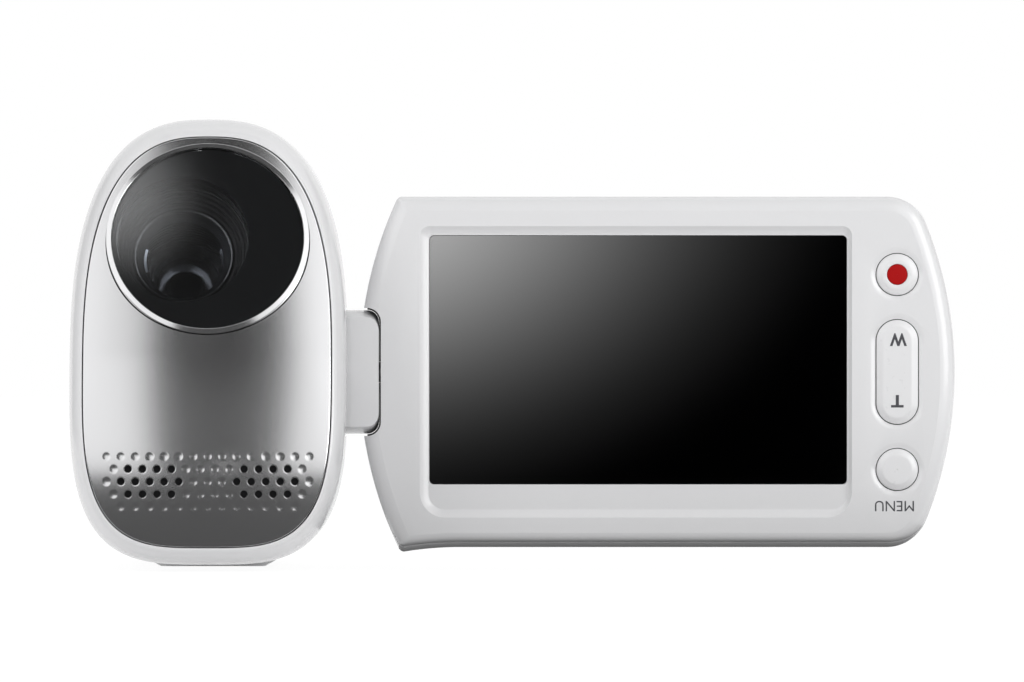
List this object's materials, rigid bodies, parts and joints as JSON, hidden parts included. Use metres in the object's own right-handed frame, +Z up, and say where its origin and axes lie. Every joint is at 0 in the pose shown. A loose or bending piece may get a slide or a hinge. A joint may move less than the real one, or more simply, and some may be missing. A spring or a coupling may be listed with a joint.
{
  "type": "compact camcorder",
  "caption": "Compact camcorder with an up-tilted lens in a brushed metal front plate and a side screen that swings out and twists to face forward.",
  "frame": {"origin": "mouth of the tripod socket, in the surface the camcorder stands on", "axes": "+Z up, -Y out of the lens towards the subject, +X to the side where the screen swings out"},
  "size_m": [0.1269, 0.1189, 0.0645],
  "materials": {
    "white_shell": "gloss",
    "brushed_plate": "brushed satin",
    "black_moulding": "matte",
    "lens_body": "black anodised",
    "polished_ring": "polished",
    "window_glass": "polished",
    "lens_glass": "coated",
    "lens_cells": "matte",
    "steel": "satin",
    "motor_can": "satin",
    "circuit_board": "matte",
    "microphone_cloth": "woven",
    "thread_insert": "satin",
    "battery_case": "matte",
    "battery_can": "wrapped",
    "silver_keys": "satin",
    "light_guides": "frosted",
    "display_glass": "polished",
    "display_module": "matte",
    "red_dot": "gloss"
  },
  "bodies": {
    "camcorder": {"front_shell": "white_shell", "front_plate": "brushed_plate", "front_frame": "black_moulding", "lens_ring": "polished_ring", "lens_window": "window_glass", "lens_mask": "black_moulding", "lens_barrel": "lens_body", "front_element": "lens_glass", "guide_rods": "steel", "zoom_motor": "motor_can", "iris_plate": "black_moulding", "image_sensor": "circuit_board", "microphone_cloth": "microphone_cloth", "microphone_capsules": "motor_can", "top_shell": "white_shell", "right_shell": "white_shell", "left_panel": "white_shell", "rear_cover": "white_shell", "base_plate": "white_shell", "tripod_socket": "thread_insert", "chassis": "steel", "battery_case": "battery_case", "battery_pack": "battery_can", "battery_door_pin": "steel", "memory_card": "black_moulding", "card_slot": "steel", "main_board": "circuit_board", "speaker": "steel", "status_lights": "light_guides", "jack_block": "black_moulding", "jack_pins": "steel", "case_screws": "steel", "hinge_bracket": "steel", "swing_pin": "steel"},
    "hinge_body": {"hinge_block": "white_shell", "hinge_block_cover": "white_shell"},
    "screen_panel": {"twist_shaft": "steel", "twist_bracket": "steel", "screen_bezel": "white_shell", "screen_cover": "white_shell", "screen_glass": "display_glass", "screen_module": "display_module", "screen_board": "circuit_board", "screen_screws": "steel"},
    "battery_door_body": {"battery_door": "white_shell"},
    "jack_cover_body": {"jack_cover": "white_shell"},
    "zoom_lever_body": {"zoom_lever": "silver_keys"},
    "zoom_group_body": {"zoom_group": "lens_cells"},
    "focus_group_body": {"focus_group": "lens_cells"},
    "photo_button_body": {"photo_button": "silver_keys"},
    "record_button_body": {"record_button": "silver_keys"},
    "mode_button_body": {"mode_button": "silver_keys"},
    "power_button_body": {"power_button": "silver_keys"},
    "display_button_body": {"display_button": "silver_keys"},
    "auto_button_body": {"auto_button": "silver_keys"},
    "screen_record_body": {"screen_record_button": "white_shell", "screen_record_dot": "red_dot"},
    "screen_menu_body": {"screen_menu_button": "white_shell"},
    "screen_zoom_body": {"screen_zoom_rocker": "white_shell"}
  },
  "joints": [
    {"name": "screen_swing", "type": "hinge", "parent": "camcorder", "child": "hinge_body", "pos_m": [0.01507, -0.0275, 0.02825], "axis": [0, 0, -1], "range_deg": [-90, 0]},
    {"name": "screen_twist", "type": "hinge", "parent": "hinge_body", "child": "screen_panel", "pos_m": [0.01507, -0.0275, 0.02825], "axis": [-1, 0, 0], "range_deg": [0, 270]},
    {"name": "battery_door", "type": "hinge", "parent": "camcorder", "child": "battery_door_body", "pos_m": [0, 0.011, 0.0023], "axis": [-1, 0, 0], "range_deg": [0, 95]},
    {"name": "jack_cover", "type": "hinge", "parent": "camcorder", "child": "jack_cover_body", "pos_m": [-0.01847, 0.034, 0.028], "axis": [0, 0, 1], "range_deg": [0, 100]},
    {"name": "zoom_lever", "type": "hinge", "parent": "camcorder", "child": "zoom_lever_body", "pos_m": [-0.0025, 0.034, 0.06], "axis": [0, 0, 1], "range_deg": [-20, 20], "stiffness_Nm_per_rad": 0.02},
    {"name": "zoom_group", "type": "slide", "parent": "camcorder", "child": "zoom_group_body", "axis": [0, -0.9397, 0.342], "range_m": [0, 0.008]},
    {"name": "focus_group", "type": "slide", "parent": "camcorder", "child": "focus_group_body", "axis": [0, -0.9397, 0.342], "range_m": [0, 0.002]},
    {"name": "photo_button", "type": "slide", "parent": "camcorder", "child": "photo_button_body", "axis": [0, 0, -1], "range_m": [0, 0.0006], "stiffness_N_per_m": 300, "springref_m": -0.0005},
    {"name": "record_button", "type": "slide", "parent": "camcorder", "child": "record_button_body", "axis": [0, -1, 0], "range_m": [0, 0.0006], "stiffness_N_per_m": 300, "springref_m": -0.0005},
    {"name": "mode_button", "type": "slide", "parent": "camcorder", "child": "mode_button_body", "axis": [0, -1, 0], "range_m": [0, 0.0006], "stiffness_N_per_m": 300, "springref_m": -0.0005},
    {"name": "power_button", "type": "slide", "parent": "camcorder", "child": "power_button_body", "axis": [-1, 0, 0], "range_m": [0, 0.0005], "stiffness_N_per_m": 300, "springref_m": -0.0005},
    {"name": "display_button", "type": "slide", "parent": "camcorder", "child": "display_button_body", "axis": [-1, 0, 0], "range_m": [0, 0.0005], "stiffness_N_per_m": 300, "springref_m": -0.0005},
    {"name": "auto_button", "type": "slide", "parent": "camcorder", "child": "auto_button_body", "axis": [-1, 0, 0], "range_m": [0, 0.0005], "stiffness_N_per_m": 300, "springref_m": -0.0005},
    {"name": "screen_record", "type": "slide", "parent": "screen_panel", "child": "screen_record_body", "axis": [0, 1, 0], "range_m": [0, 0.0005], "stiffness_N_per_m": 300, "springref_m": -0.0005},
    {"name": "screen_menu", "type": "slide", "parent": "screen_panel", "child": "screen_menu_body", "axis": [0, 1, 0], "range_m": [0, 0.0005], "stiffness_N_per_m": 300, "springref_m": -0.0005},
    {"name": "screen_zoom", "type": "hinge", "parent": "screen_panel", "child": "screen_zoom_body", "pos_m": [0.09878, -0.03025, 0.02825], "axis": [1, 0, 0], "range_deg": [-4, 4], "stiffness_Nm_per_rad": 0.02}
  ]
}
